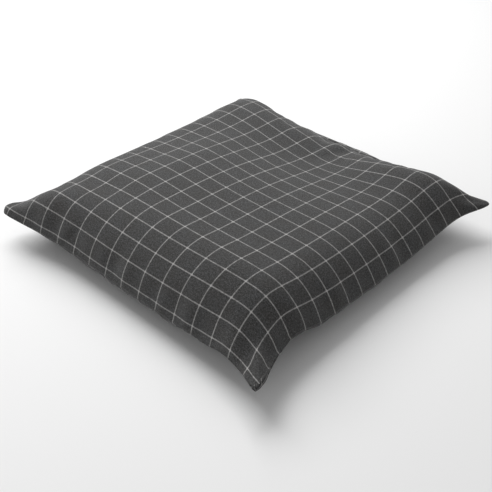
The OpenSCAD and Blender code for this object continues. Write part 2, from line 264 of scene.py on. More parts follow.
def rim_of(cells, side):
    """Where a panel's four edges are sewn: (slices, points), with the slit at the zip open."""
    left = evenly(left_seam, cells)
    left[:, 2] += side * slit_gap(left[:, 1])
    edges = [
        ((slice(None), 0), evenly(front_seam, cells)),
        ((slice(None), -1), evenly(back_seam, cells)),
        ((-1, slice(None)), evenly(right_seam, cells)),
        ((0, slice(None)), left),
    ]
    return [(where, p + (0, 0, EAR_LEVEL)) for where, p in edges]


def slit_gap(y):
    """Half of the slit's height at y."""
    return SLIT_HALF * np.clip((SLIT_END + SLIT_TAPER / 2 - np.abs(y)) / SLIT_TAPER, 0, 1)


def pairs(p, di, dj):
    """Views of the points of a grid and of their neighbours di and dj steps on."""
    n, m = p.shape[:2]
    a = p[max(0, -di): n - max(0, di), max(0, -dj): m - max(0, dj)]
    b = p[max(0, di): n + min(0, di), max(0, dj): m + min(0, dj)]
    return a, b


# Each is (steps along the two directions, share of a stretch and of a squeeze put right).
LINKS = (
    (1, 0, 1.0, 0.7),
    (0, 1, 1.0, 0.7),
    (1, 1, 0.25, 0.1),
    (1, -1, 0.25, 0.1),
    (2, 0, 0.1, 0.1),
    (0, 2, 0.1, 0.1),
)
LINK_CALM = 2.4  # divides each step's moves, which add up at a point with many links
SETTLE_SHARE = 0.25  # how much of the way to the height field a point goes in one step


def keep_lengths(p, cell):
    """One step of the links between the cloth's points towards their flat lengths."""
    move = np.zeros_like(p)
    for di, dj, stretch, squeeze in LINKS:
        a, b = pairs(p, di, dj)
        rest = cell * math.hypot(di, dj)
        d = b - a
        long = np.linalg.norm(d, axis=2, keepdims=True)
        share = np.where(long > rest, stretch, squeeze) * (long - rest) / np.maximum(long, 1e-6)
        ma, mb = pairs(move, di, dj)
        ma += share * d / 2
        mb -= share * d / 2
    return p + move / LINK_CALM


def settle(p, height, share):
    """Moves points part of the way onto a height field, square to its slope."""
    x, y = p[..., 0], p[..., 1]
    step = 2.0
    here = height(x, y)
    slope_x = (height(x + step, y) - height(x - step, y)) / (2 * step)
    slope_y = (height(x, y + step) - height(x, y - step)) / (2 * step)
    off = share * (here - p[..., 2]) / (1 + slope_x**2 + slope_y**2)
    return p + np.stack([-slope_x * off, -slope_y * off, off], axis=2)


def finer(p, cells):
    """A grid of points again, with this many cells a side."""
    old = np.linspace(0, 1, p.shape[0])
    new = np.linspace(0, 1, cells + 1)
    rows = np.stack([[np.interp(new, old, p[:, j, k]) for j in range(p.shape[1])]
                     for k in range(3)], axis=2)
    return np.stack([[np.interp(new, old, rows[:, i, k]) for i in range(cells + 1)]
                     for k in range(3)], axis=2)


def lay_panel(side):
    """The grid of a panel laid over the filled shape: side is 1 for the top, -1 below."""
    height = top_height if side > 0 else under_height
    s, t = fabric_grid(LAY_LEVELS[0])
    left, right, front, back = seam_box(s, t)
    k, m = (s / PANEL + 0.5), (t / PANEL + 0.5)
    x = left[..., 0] * (1 - k) + right[..., 0] * k
    y = front[..., 1] * (1 - m) + back[..., 1] * m
    p = np.stack([x, y, height(x, y)], axis=2)
    for cells, steps in zip(LAY_LEVELS, LAY_STEPS):
        p = finer(p, cells)
        rim = rim_of(cells, side)
        cell = PANEL / cells
        for _ in range(steps):
            p = settle(keep_lengths(p, cell), height, SETTLE_SHARE)
            for where, points in rim:
                p[where] = points
        band = int(round(ZIP_BAND / cell))
        if band:
            y_in = p[0, :, 1]
            held = slit_gap(y_in) > SLIT_HALF / 2
            p[band, held] = p[0, held] + (0, 0, side * ZIP_BAND)
    return p


# ---------------------------------------------------------------- inflating the cloth
INFLATE_FRAMES = 20
MOVE_CAP = 9.0  # how far the inflated cloth may leave the laid shape
PRESSURE = 4.0
# How firmly the cloth is held where it was laid, from 0 to 1. On the top the hold grows over a
# reach in from the seam. The underside is held firmly, but for a reach in from the seam.
HOLD_TOP, HOLD_TOP_MORE, HOLD_TOP_REACH = 0.05, 0.15, 150
HOLD_UNDER, HOLD_UNDER_EDGE, HOLD_UNDER_REACH = 0.8, 0.1, 60
HOLD_EAR, HOLD_EAR_REACH = 0.4, 30
HOLD_SEAM, HOLD_ZIP = 0.9, 1.0
ZIP_HOLD_IN, ZIP_HOLD_PAST = 13, 12  # how far in from the zip, and past its ends, it holds


def sewn_index(n, y_left):
    """Point numbers of both grids in one mesh, sharing the seam but not the slit's edges."""
    top = np.arange(n * n).reshape(n, n)
    under = top + n * n
    under[:, 0], under[:, -1], under[-1, :] = top[:, 0], top[:, -1], top[-1, :]
    sewn = slit_gap(y_left) == 0
    under[0, sewn] = top[0, sewn]
    return top, under


def hold_weights(top, under, n):
    """How firmly each point is held where it was laid, as a vertex group's weights."""
    weight = np.zeros(2 * n * n)
    s, t = fabric_grid(n - 1)
    from_rim = PANEL / 2 - np.maximum(np.abs(s), np.abs(t))
    weight[top] = HOLD_TOP + HOLD_TOP_MORE * np.clip(from_rim / HOLD_TOP_REACH, 0, 1)
    weight[under] = np.where(from_rim > HOLD_UNDER_REACH, HOLD_UNDER, HOLD_UNDER_EDGE)
    corner = np.hypot(PANEL / 2 - np.abs(s), PANEL / 2 - np.abs(t)) < HOLD_EAR_REACH
    for grid in (top, under):
        weight[grid[corner]] = HOLD_EAR
        rim = from_rim == 0
        weight[grid[rim]] = HOLD_SEAM
        along_zip = (s < -PANEL / 2 + ZIP_HOLD_IN) & (np.abs(t) < SLIT_END + ZIP_HOLD_PAST)
        weight[grid[along_zip]] = HOLD_ZIP
    return weight


def inflate(top_grid, under_grid):
    """Blender's Cloth: both panels are sewn, remember their flat sizes, and are blown up a little."""
    n = top_grid.shape[0]
    top, under = sewn_index(n, top_grid[0, :, 1])
    points = np.zeros((2 * n * n, 3))
    flat = np.zeros((2 * n * n, 3))
    s, t = fabric_grid(n - 1)
    for index, grid in ((under, under_grid), (top, top_grid)):
        points[index] = grid
        flat[index] = np.stack([s, t, 0 * s], axis=2)
    faces = np.concatenate([grid_faces(n, n), grid_faces(n, n, flip=True) + n * n])
    numbers = np.concatenate([top.ravel(), under.ravel()])
    faces = numbers[faces]
    used = np.unique(faces)
    small = np.zeros(2 * n * n, int)
    small[used] = np.arange(len(used))
    obj = mesh_object("inflating", points[used], small[faces])
    obj.shape_key_add(name="laid")
    key = obj.shape_key_add(name="flat")
    key.data.foreach_set("co", (flat[used] * MM).astype(np.float32).ravel())
    key.value = 0
    group = obj.vertex_groups.new(name="hold")
    for number, weight in enumerate(hold_weights(top, under, n)[used]):
        group.add([number], float(weight), "REPLACE")
    cloth = obj.modifiers.new("cloth", "CLOTH")
    settings = cloth.settings
    settings.quality = 6
    settings.mass = 0.3
    settings.tension_stiffness = settings.compression_stiffness = 15
    settings.shear_stiffness = 3
    settings.bending_stiffness = 0.5
    settings.air_damping = 2
    settings.vertex_group_mass = "hold"
    settings.pin_stiffness = 1.0
    settings.use_pressure = True
    settings.uniform_pressure_force = PRESSURE
    settings.effector_weights.gravity = 0
    settings.rest_shape_key = key
    cloth.collision_settings.use_collision = False
    cloth.collision_settings.use_self_collision = False
    cloth.point_cache.frame_start = 1
    cloth.point_cache.frame_end = INFLATE_FRAMES
    scene = bpy.context.scene
    for number in range(1, INFLATE_FRAMES + 1):
        scene.frame_set(number)
    done = obj.evaluated_get(bpy.context.evaluated_depsgraph_get())
    found = np.zeros(len(used) * 3, np.float32)
    done.data.vertices.foreach_get("co", found)
    found = found.reshape(-1, 3) / MM
    moved = found - points[used]
    far = np.linalg.norm(moved, axis=1, keepdims=True)
    moved *= np.minimum(1, MOVE_CAP / np.maximum(far, 1e-6))
    print("cloth moved", far.mean().round(2), "mm on average and", far.max().round(2), "at most")
    points[used] += moved
    points[:, 2] = np.maximum(points[:, 2], 0)
    scene.frame_set(1)
    bpy.data.objects.remove(obj)
    return points[top], points[under]


# ---------------------------------------------------------------- meshes
def mesh_object(name, points, faces, smooth=True):
    """A mesh object from points in mm."""
    mesh = bpy.data.meshes.new(name)
    mesh.from_pydata((np.asarray(points) * MM).tolist(), [], [tuple(f) for f in faces])
    mesh.validate()
    mesh.polygons.foreach_set("use_smooth", [smooth] * len(mesh.polygons))
    obj = bpy.data.objects.new(name, mesh)
    bpy.context.scene.collection.objects.link(obj)
    return obj


def grid_faces(n, m, first=0, flip=False):
    """Quads of an n by m grid of points."""
    i, j = np.meshgrid(np.arange(n - 1), np.arange(m - 1), indexing="ij")
    a = (first + i * m + j).ravel()
    quads = np.stack([a, a + m, a + m + 1, a + 1], axis=1)
    return quads[:, ::-1] if flip else quads


def give_fabric(obj, coords):
    """Stores each point's fabric coordinates, in metres, as a UV map."""
    uv = obj.data.uv_layers.new(name="fabric")
    corner = np.zeros(len(obj.data.loops), np.int32)
    obj.data.loops.foreach_get("vertex_index", corner)
    uv.data.foreach_set("uv", (np.asarray(coords)[corner] * MM).astype(np.float32).ravel())


# ---------------------------------------------------------------- materials
def new_material(name):
    mat = bpy.data.materials.new(name)
    mat.use_nodes = True
    return mat, mat.node_tree, mat.node_tree.nodes["Principled BSDF"]


class Nodes:
    """Short calls that add nodes to a material and link them."""

    def __init__(self, tree):
        self.tree = tree

    def add(self, kind, **values):
        node = self.tree.nodes.new(kind)
        for key, value in values.items():
            setattr(node, key, value)
        return node

    def feed(self, node, *inputs):
        for socket, value in enumerate(inputs):
            if value is None:
                continue
            if isinstance(value, bpy.types.NodeSocket):
                self.tree.links.new(value, node.inputs[socket])
            else:
                node.inputs[socket].default_value = value
        return node.outputs[0]

    def math(self, operation, *inputs, clamp=False):
        return self.feed(self.add("ShaderNodeMath", operation=operation, use_clamp=clamp), *inputs)

    def noise(self, vector, scale, detail=2.0, rough=0.5):
        node = self.add("ShaderNodeTexNoise")
        self.tree.links.new(vector, node.inputs["Vector"])
        node.inputs["Scale"].default_value = scale
        node.inputs["Detail"].default_value = detail
        node.inputs["Roughness"].default_value = rough
        return node.outputs["Fac"]

    def ramp(self, value, *stops):
        node = self.add("ShaderNodeValToRGB")
        self.tree.links.new(value, node.inputs[0])
        elements = node.color_ramp.elements
        while len(elements) < len(stops):
            elements.new(0.5)
        for element, (at, colour) in zip(elements, stops):
            element.position = at
            element.color = (*colour, 1)
        return node.outputs["Color"]

    def mix(self, share, low, high, blend="MIX"):
        node = self.add("ShaderNodeMix", data_type="RGBA", blend_type=blend)
        for socket, value in ((0, share), (6, low), (7, high)):
            if isinstance(value, bpy.types.NodeSocket):
                self.tree.links.new(value, node.inputs[socket])
            elif socket == 0:
                node.inputs[0].default_value = value
            else:
                node.inputs[socket].default_value = (*value, 1)
        return node.outputs[2]

    def bump(self, height, strength, distance, normal=None):
        node = self.add("ShaderNodeBump")
        node.inputs["Strength"].default_value = strength
        node.inputs["Distance"].default_value = distance
        self.tree.links.new(height, node.inputs["Height"])
        if normal is not None:
            self.tree.links.new(normal, node.inputs["Normal"])
        return node.outputs["Normal"]


def grey(value, warm=0.0):
    """A near-neutral colour: its linear value, and how far it leans to warm."""
    return (value * (1 + warm), value, value * (1 - warm))


# The check: pitch of the lines and the place of the first one, across and along (m).
CHECK_PITCH = (38.5 * MM, 32.7 * MM)
CHECK_START = (-276.0 * MM, -286.6 * MM)
LINE_WIDTH = 1.9 * MM
YARN = 0.75 * MM


def check_line(n, across, along_it, pitch, start):
    """A set of pale lines: how much of the pale yarn shows, and a wider band round each line."""
    place = n.math("ADD", across, -start + pitch / 2)
    from_line = n.math("ABSOLUTE", n.math("SUBTRACT", n.math("FLOORED_MODULO", place, pitch), pitch / 2))
    soft = n.math("DIVIDE", n.math("SUBTRACT", LINE_WIDTH / 2 + 0.3 * MM, from_line), 0.6 * MM, clamp=True)
    wide = n.math("DIVIDE", n.math("SUBTRACT", 1.4 * LINE_WIDTH, from_line), LINE_WIDTH, clamp=True)
    twill = n.math("FRACT", n.math("DIVIDE", n.math("ADD", along_it, across), 2.8 * YARN))
    over = n.math("DIVIDE", n.math("SUBTRACT", 0.7, twill), 0.2, clamp=True)
    lit = n.math("MULTIPLY_ADD", over, 0.7, 0.3)
    return n.math("MULTIPLY", soft, lit), wide


def checked_wool():
    """Charcoal wool twill: heathered grey yarns, a fine pale windowpane check and a soft nap."""
    mat, tree, shader = new_material("checked_wool")
    n = Nodes(tree)
    uv = n.add("ShaderNodeUVMap", uv_map="fabric").outputs["UV"]
    split = n.add("ShaderNodeSeparateXYZ")
    tree.links.new(uv, split.inputs[0])
    x, y = split.outputs[0], split.outputs[1]

    heather = n.noise(uv, 620, 3, 0.75)
    mottle = n.noise(uv, 300, 2, 0.6)
    cloudy = n.noise(uv, 30, 3, 0.6)
    base = n.ramp(heather, (0.3, grey(0.013, 0.03)), (0.5, grey(0.038)), (0.7, grey(0.104, -0.02)))
    patch = n.ramp(mottle, (0.32, grey(0.55, 0.04)), (0.68, grey(1.42, -0.01)))
    base = n.mix(1.0, base, patch, "MULTIPLY")
    drift = n.ramp(cloudy, (0.3, grey(0.88, 0.04)), (0.7, grey(1.08, -0.01)))
    base = n.mix(1.0, base, drift, "MULTIPLY")

    lines_x, band_x = check_line(n, x, y, CHECK_PITCH[0], CHECK_START[0])
    lines_y, band_y = check_line(n, y, x, CHECK_PITCH[1], CHECK_START[1])
    either = n.math("MAXIMUM", lines_x, lines_y)
    crossing = n.math("MULTIPLY", band_x, band_y)
    worn = n.noise(uv, 240, 2, 0.6)
    faded = n.math("MULTIPLY_ADD", worn, 1.5, -0.12, clamp=True)
    shown = n.math("MULTIPLY_ADD", crossing, 0.9, faded)
    colour = n.mix(n.math("MULTIPLY", either, shown, clamp=True), base, grey(0.44, 0.02))
    tree.links.new(colour, shader.inputs["Base Color"])

    ribs = n.math("SINE", n.math("MULTIPLY", n.math("ADD", x, y), 2 * math.pi / (2 * YARN)))
    warp = n.math("SINE", n.math("MULTIPLY", x, 2 * math.pi / YARN))
    weave = n.math("MULTIPLY_ADD", ribs, 0.6, warp)
    raised = n.math("MULTIPLY_ADD", either, 1.2, weave)
    fluff = n.noise(uv, 1500, 3, 0.7)
    normal = n.bump(raised, 0.25, 0.25 * MM)
    normal = n.bump(fluff, 0.5, 0.5 * MM, normal)
    normal = n.bump(mottle, 0.25, 1.0 * MM, normal)
    tree.links.new(normal, shader.inputs["Normal"])
    rough = n.math("MULTIPLY_ADD", heather, 0.16, 0.82, clamp=True)
    tree.links.new(rough, shader.inputs["Roughness"])
    shader.inputs["Specular IOR Level"].default_value = 0.2
    shader.inputs["Sheen Weight"].default_value = 0.25
    shader.inputs["Sheen Roughness"].default_value = 0.55
    shader.inputs["Sheen Tint"].default_value = (*grey(0.75), 1)
    return mat


def woven(name, dark, pale, pitch, rough, sheen=0.2):
    """A plain-woven cloth or ribbon: crossing yarns, uneven in colour. pitch is in metres."""
    mat, tree, shader = new_material(name)
    n = Nodes(tree)
    place = n.add("ShaderNodeTexCoord").outputs["Object"]
    split = n.add("ShaderNodeSeparateXYZ")
    tree.links.new(place, split.inputs[0])
    turn = 2 * math.pi / pitch
    across = n.math("SINE", n.math("MULTIPLY", n.math("ADD", split.outputs[0], split.outputs[2]), turn))
    along_it = n.math("SINE", n.math("MULTIPLY", split.outputs[1], turn))
    weave = n.math("MULTIPLY_ADD", n.math("MULTIPLY", across, along_it), 0.5, 0.5)
    speckle = n.noise(place, 1.2 / pitch, 3, 0.6)
    shade = n.math("MULTIPLY_ADD", weave, 0.35, n.math("MULTIPLY", speckle, 0.65))
    tree.links.new(n.ramp(shade, (0.25, dark), (0.7, pale)), shader.inputs["Base Color"])
    normal = n.bump(weave, 0.4, 0.3 * pitch)
    tree.links.new(n.bump(speckle, 0.3, 0.4 * pitch, normal), shader.inputs["Normal"])
    tree.links.new(n.math("MULTIPLY_ADD", speckle, 0.2, rough - 0.1), shader.inputs["Roughness"])
    shader.inputs["Specular IOR Level"].default_value = 0.3
    shader.inputs["Sheen Weight"].default_value = sheen
    shader.inputs["Sheen Roughness"].default_value = 0.5
    return mat


def spun(name, dark, pale, twist, rough):
    """Thread: fine plies twisted along it."""
    mat, tree, shader = new_material(name)
    n = Nodes(tree)
    place = n.add("ShaderNodeTexCoord").outputs["Object"]
    wave = n.add("ShaderNodeTexWave", wave_type="BANDS", bands_direction="DIAGONAL")
    tree.links.new(place, wave.inputs["Vector"])
    wave.inputs["Scale"].default_value = 1 / twist
    wave.inputs["Distortion"].default_value = 1.5
    speckle = n.noise(place, 3000, 2, 0.6)
    shade = n.math("MULTIPLY_ADD", wave.outputs["Fac"], 0.6, n.math("MULTIPLY", speckle, 0.4))
    tree.links.new(n.ramp(shade, (0.2, dark), (0.8, pale)), shader.inputs["Base Color"])
    tree.links.new(n.bump(shade, 0.4, 0.1 * MM), shader.inputs["Normal"])
    tree.links.new(n.math("MULTIPLY_ADD", shade, 0.2, rough - 0.1), shader.inputs["Roughness"])
    return mat


def worn_metal():
    """Gunmetal-plated zinc: soft blotches, fine rubbing marks and brighter worn places."""
    mat, tree, shader = new_material("gunmetal")
    n = Nodes(tree)
    place = n.add("ShaderNodeTexCoord").outputs["Object"]
    blotch = n.noise(place, 180, 4, 0.6)
    rub = n.noise(place, 1400, 3, 0.7)
    shade = n.math("MULTIPLY_ADD", rub, 0.4, n.math("MULTIPLY", blotch, 0.6))
    tree.links.new(n.ramp(shade, (0.3, grey(0.11)), (0.6, grey(0.2)), (0.8, grey(0.34, 0.02))),
                   shader.inputs["Base Color"])
    tree.links.new(n.math("MULTIPLY_ADD", shade, 0.35, 0.2), shader.inputs["Roughness"])
    tree.links.new(n.bump(rub, 0.15, 0.05 * MM), shader.inputs["Normal"])
    shader.inputs["Metallic"].default_value = 1.0
    return mat


def nylon():
    """The zip's coil: dark monofilament, a little uneven along its length."""
    mat, tree, shader = new_material("nylon_coil")
    n = Nodes(tree)
    place = n.add("ShaderNodeTexCoord").outputs["Object"]
    uneven = n.noise(place, 700, 2, 0.5)
    tree.links.new(n.ramp(uneven, (0.3, grey(0.012)), (0.7, grey(0.035))), shader.inputs["Base Color"])
    tree.links.new(n.math("MULTIPLY_ADD", uneven, 0.2, 0.28), shader.inputs["Roughness"])
    tree.links.new(n.bump(uneven, 0.1, 0.05 * MM), shader.inputs["Normal"])
    shader.inputs["Coat Weight"].default_value = 0.2
    return mat


def fibre_filling():
    """White crimped fibre: soft clumps and strands."""
    mat, tree, shader = new_material("fibre_filling")
    n = Nodes(tree)
    place = n.add("ShaderNodeTexCoord").outputs["Object"]
    clumps = n.noise(place, 45, 4, 0.6)
    strands = n.noise(place, 600, 4, 0.8)
    shade = n.math("MULTIPLY_ADD", strands, 0.5, n.math("MULTIPLY", clumps, 0.5))
    white = n.ramp(shade, (0.3, grey(0.55, 0.03)), (0.7, grey(0.8, 0.01)))
    tree.links.new(white, shader.inputs["Base Color"])
    tree.links.new(n.bump(strands, 0.6, 1.0 * MM, n.bump(clumps, 0.6, 6 * MM)), shader.inputs["Normal"])
    tree.links.new(n.math("MULTIPLY_ADD", strands, 0.1, 0.88), shader.inputs["Roughness"])
    shader.inputs["Sheen Weight"].default_value = 0.3
    return mat


wool = checked_wool()
tape_cloth = woven("zip_tape_weave", grey(0.008), grey(0.03), 0.9 * MM, 0.8)
calico = woven("pad_calico", grey(0.55, 0.06), grey(0.78, 0.04), 0.7 * MM, 0.85)
ribbon = woven("label_ribbon", grey(0.62, 0.03), grey(0.82, 0.02), 0.4 * MM, 0.6)
dark_thread = spun("charcoal_thread", grey(0.02), grey(0.07), 0.5 * MM, 0.7)
pale_thread = spun("cotton_thread", grey(0.5, 0.05), grey(0.78, 0.03), 0.5 * MM, 0.75)
gunmetal = worn_metal()
coil_nylon = nylon()
filling_fibre = fibre_filling()


def dress(obj, material, body="cushion", replaces=()):
    """Gives a new piece its material, slot and body, and hides the CAD nodes that it stands for."""
    obj.data.materials.append(material)
    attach(obj, body)
    if replaces:
        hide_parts(*replaces)
    return obj


# ---------------------------------------------------------------- the cover
top_grid = lay_panel(1)
under_grid = lay_panel(-1)
top_grid, under_grid = inflate(top_grid, under_grid)


def smoother(values, new):
    """Values along axis 0 again at new places from 0 to 1, on Catmull-Rom curves."""
    n = len(values)
    at = np.clip(new * (n - 1), 0, n - 1 - 1e-9)
    k = np.floor(at).astype(int)
    f = (at - k).reshape(-1, *[1] * (values.ndim - 1))
    p = [values[np.clip(k + d, 0, n - 1)] for d in (-1, 0, 1, 2)]
    before = np.where(k == 0, 1, 0).reshape(f.shape)
    after = np.where(k == n - 2, 1, 0).reshape(f.shape)
    p[0] = p[0] + before * (p[1] - p[2])
    p[3] = p[3] + after * (p[2] - p[1])
    return 0.5 * (
        2 * p[1] + (p[2] - p[0]) * f
        + (2 * p[0] - 5 * p[1] + 4 * p[2] - p[3]) * f**2
        + (3 * p[1] - p[0] - 3 * p[2] + p[3]) * f**3
    )


def sampled(grid, s, t):
    """A panel's points at one row of fabric coordinates s and one of t."""
    rows = smoother(grid, s / PANEL + 0.5)
    return smoother(rows.transpose(1, 0, 2), t / PANEL + 0.5).transpose(1, 0, 2)


def normals_of(p):
    across, up = np.gradient(p, axis=0), np.gradient(p, axis=1)
    n = np.cross(across, up)
    return n / np.maximum(np.linalg.norm(n, axis=2, keepdims=True), 1e-9)


def ripple(x, lengths, seed):
    """A smooth, uneven wave along x, from -1 to 1: sines of these lengths in mm."""
    parts = [np.sin(2 * np.pi * x / w + seed * (k + 1.7)) for k, w in enumerate(lengths)]
    return sum(parts) / len(parts)


FINE_CELLS = 192
# How far the cloth is gathered at the seams: (wavelengths, amount, place, reach), in mm.
SEAM_PUCKERS = (
    ((17, 26, 43), 0.5, 7, 9),
    ((47, 71, 103), 2.2, 26, 24),
)
# Dark little folds in from the back seam: (place along it, place in from it, size, depth).
BACK_FOLDS = ((-28.0, 30.0, 15.0, 5.0), (22.0, 42.0, 16.0, 3.0), (85.0, 18.0, 16.0, 4.0))
FOLD_LENGTHEN = 0.8  # under 1, a fold reaches further in from the seam than along it
PUCKER_START = 6.0  # the puckers grow over this distance in from the seam
PUCKER_SHIFT = 2.1  # sets each side's puckers apart from the last side's
# Folds that fan out round each ear: depth, how many, and their distance and reach from the tip.
EAR_FOLD, EAR_FOLD_COUNT = 2.0, 7
EAR_FOLD_AT, EAR_FOLD_REACH = 50.0, 34.0
FLAT_BY_ZIP = 30.0  # the zip keeps the cloth smooth up to about here
ZIP_SHARE = 0.97  # a place along the zip's side, as a share of the fabric's coordinate
FLOOR_FADE = 8.0  # the underside's puckers fade below this height
# The ears that are rounded off: their sides of s and t, and how much of the tip is tucked away.
BLUNT_EARS = ((-1, -1, 20.0), (1, 1, 8.0), (-1, 1, 20.0))
BLUNT_DEPTH, BLUNT_REACH, BLUNT_DROOP = 0.45, 1.6, 0.4


def puckered(grid, side):
    """The panel on its fine grid, gathered a little by the stitching along each seam."""
    row = np.linspace(-PANEL / 2, PANEL / 2, FINE_CELLS + 1)
    p = sampled(grid, row, row)
    s, t = fabric_grid(FINE_CELLS)
    lift = np.zeros_like(s)
    edges = ((PANEL / 2 + s, t), (PANEL / 2 - s, t), (PANEL / 2 + t, s), (PANEL / 2 - t, s))
    for number, (inward, along_it) in enumerate(edges):
        for lengths, amount, place, reach in SEAM_PUCKERS:
            share = np.exp(-(((inward - place) / reach) ** 2)) * np.clip(inward / PUCKER_START, 0, 1)
            lift += amount * share * ripple(along_it, lengths, PUCKER_SHIFT * number + side)
    if side > 0:
        for at_s, at_in, size, depth in BACK_FOLDS:
            off = np.hypot(s - at_s, FOLD_LENGTHEN * (PANEL / 2 - t - at_in))
            lift -= depth * np.exp(-((off / size) ** 2))
    from_ear = np.hypot(PANEL / 2 - np.abs(s), PANEL / 2 - np.abs(t))
    angle = np.arctan2(PANEL / 2 - np.abs(t), PANEL / 2 - np.abs(s))
    fold = np.cos(EAR_FOLD_COUNT * angle + np.sign(s) + 2 * np.sign(t))
    near = np.exp(-(((from_ear - EAR_FOLD_AT) / EAR_FOLD_REACH) ** 2))
    near *= np.clip(np.sin(2 * angle), 0, 1)
    lift += EAR_FOLD * near * fold
    zip_side = np.exp(-(((PANEL / 2 + s) / FLAT_BY_ZIP) ** 2)) * (slit_gap(t * ZIP_SHARE) > 0)
    lift *= 1 - zip_side
    if side < 0:
        lift = lift * np.clip(p[..., 2] / FLOOR_FADE, 0, 1)
    p = p + lift[..., None] * normals_of(p)
    for sign_s, sign_t, size in BLUNT_EARS:
        along_ear = PANEL - sign_s * s - sign_t * t
        tip = BLUNT_DEPTH * size * np.clip(1 - along_ear / (BLUNT_REACH * size), 0, 1) ** 2
        p = p - tip[..., None] * np.array([sign_s, sign_t, BLUNT_DROOP])
    return p


def rim_numbers(n):
    """The border of an n by n grid, once round, as row and column numbers."""
    up, down = np.arange(n - 1), np.arange(n - 1, 0, -1)
    i = np.concatenate([up, np.full(n - 1, n - 1), down, np.zeros(n - 1, int)])
    j = np.concatenate([np.zeros(n - 1, int), up, np.full(n - 1, n - 1), down])
    return i, j


INWARD_CELLS = 4  # the allowances point at the middle of the cushion this many cells in
ALLOWANCE_GAP = 0.7  # half of the gap between the two panels' allowances
BEHIND_SLIT = 1.7  # how far behind the slit's edge its allowance is turned back


def inward_from_rim(top, under):
    """At each rim point, the unit direction that the seam allowances run in."""
    n = len(top)
    i, j = rim_numbers(n)
    middle = (top + under) / 2
    last = n - 1 - INWARD_CELLS
    deeper = middle[np.clip(i, INWARD_CELLS, last), np.clip(j, INWARD_CELLS, last)]
    d = deeper - middle[i, j]
    return d / np.linalg.norm(d, axis=1, keepdims=True)


def cover_panel(name, grid, side, inward):
    """A cover panel with its seam allowance turned in, as one open sheet."""
    n = len(grid)
    i, j = rim_numbers(n)
    rim = grid[i, j]
    open_here = (slit_gap(rim[:, 1]) * (i == 0) / SLIT_HALF)[:, None]
    sewn = rim + inward * ALLOWANCE + (0, 0, ALLOWANCE_GAP * side)
    turned_back = rim + (BEHIND_SLIT, 0, ALLOWANCE * side)
    edge = sewn * (1 - open_here) + turned_back * open_here
    points = np.concatenate([grid.reshape(-1, 3), edge])
    r = i * n + j
    e = n * n + np.arange(len(r))
    r2, e2 = np.roll(r, -1), np.roll(e, -1)
    strip = np.stack([r2, r, e, e2] if side > 0 else [r, r2, e2, e], axis=1)
    faces = np.concatenate([grid_faces(n, n, flip=side < 0), strip])
    obj = mesh_object(name, points, faces)
    s, t = fabric_grid(n - 1)
    flat = np.stack([s.ravel(), t.ravel()], axis=1)
    out = flat[r] * (1 + 2 * ALLOWANCE / PANEL)
    give_fabric(obj, np.concatenate([flat, out]))
    thick = obj.modifiers.new("cloth thickness", "SOLIDIFY")
    thick.thickness = CLOTH_THICK * MM
    thick.offset = -1
    return obj


top_fine, under_fine = puckered(top_grid, 1), puckered(under_grid, -1)
# The two panels stay sewn: the rim of the underside is the rim of the top, but for the slit.
rim_i, rim_j = rim_numbers(FINE_CELLS + 1)
sewn_here = ~((rim_i == 0) & (slit_gap(top_fine[rim_i, rim_j, 1]) > 0))
under_fine[rim_i[sewn_here], rim_j[sewn_here]] = top_fine[rim_i[sewn_here], rim_j[sewn_here]]
under_fine[..., 2] = np.maximum(under_fine[..., 2], 0)
inward = inward_from_rim(top_fine, under_fine)
for name, grid, side, node in (
    ("cover_top_panel", top_fine, 1, "cover_top"),
    ("cover_bottom_panel", under_fine, -1, "cover_bottom"),
):
    panel = dress(cover_panel(name, grid, side, inward), wool, replaces=[node])


# ---------------------------------------------------------------- threads
def tube(path, radius, sides=6):
    """Points and quads of a tube along a path."""
    path = np.asarray(path, float)
    ahead = np.gradient(path, axis=0)
    ahead /= np.linalg.norm(ahead, axis=1, keepdims=True)
    up = np.where(np.abs(ahead[:, 2:]) < 0.9, (0, 0, 1.0), (0, 1.0, 0))
    across = np.cross(ahead, up)
    across /= np.linalg.norm(across, axis=1, keepdims=True)
    up = np.cross(across, ahead)
    a = np.arange(sides) * 2 * np.pi / sides
    ring = np.cos(a)[None, :, None] * across[:, None] + np.sin(a)[None, :, None] * up[:, None]
    size = np.broadcast_to(radius, len(path))[:, None, None]
    points = (path[:, None] + size * ring).reshape(-1, 3)
    k, m = np.meshgrid(np.arange(len(path) - 1), np.arange(sides), indexing="ij")
    a = (k * sides + m).ravel()
    b = (k * sides + (m + 1) % sides).ravel()
    return points, np.stack([a, b, b + sides, a + sides], axis=1)


def joined(parts):
    """Several (points, faces) as one."""
    points, faces, first = [], [], 0
    for p, f in parts:
        points.append(p)
        faces.append(f + first)
        first += len(p)
    return np.concatenate(points), np.concatenate(faces)


def stitch_row(path, out, pitch, gap, radius, lift):
    """A run of stitches on a path: each comes up, lies along it and goes back in."""
    count = int(distances(path)[-1] // pitch)
    share = np.array([0, 0.12, 0.5, 0.88, 1.0])
    high = np.array([-0.6, 0.7, 1.0, 0.7, -0.6]) * lift
    size = np.array([0.6, 1, 1, 1, 0.6]) * radius
    parts = []
    for k in range(count):
        at = points_at(path, k * pitch + gap / 2 + share * (pitch - gap))
        parts.append(tube(at + high[:, None] * np.asarray(out), size))
    return joined(parts)


SLIT_CLEAR = 6.0  # the seam's stitches stop this far before the slit
SHORTEST_RUN = 4  # in points of the rim


def sides_of_rim():
    """The rim in runs, one for each side, with the slit left out: (points, inward)."""
    i, j = rim_numbers(FINE_CELLS + 1)
    points = top_fine[i, j]
    closed = ~((i == 0) & (np.abs(points[:, 1]) < SLIT_END + SLIT_CLEAR))
    n = FINE_CELLS
    for k in range(4):
        run = np.arange(k * n, (k + 1) * n + 1) % (4 * n)
        ends = np.flatnonzero(np.diff(np.concatenate([[False], closed[run], [False]]).astype(int)))
        for start, end in zip(ends[::2], ends[1::2]):
            if end - start > SHORTEST_RUN:
                yield points[run[start:end]], inward[run[start:end]]


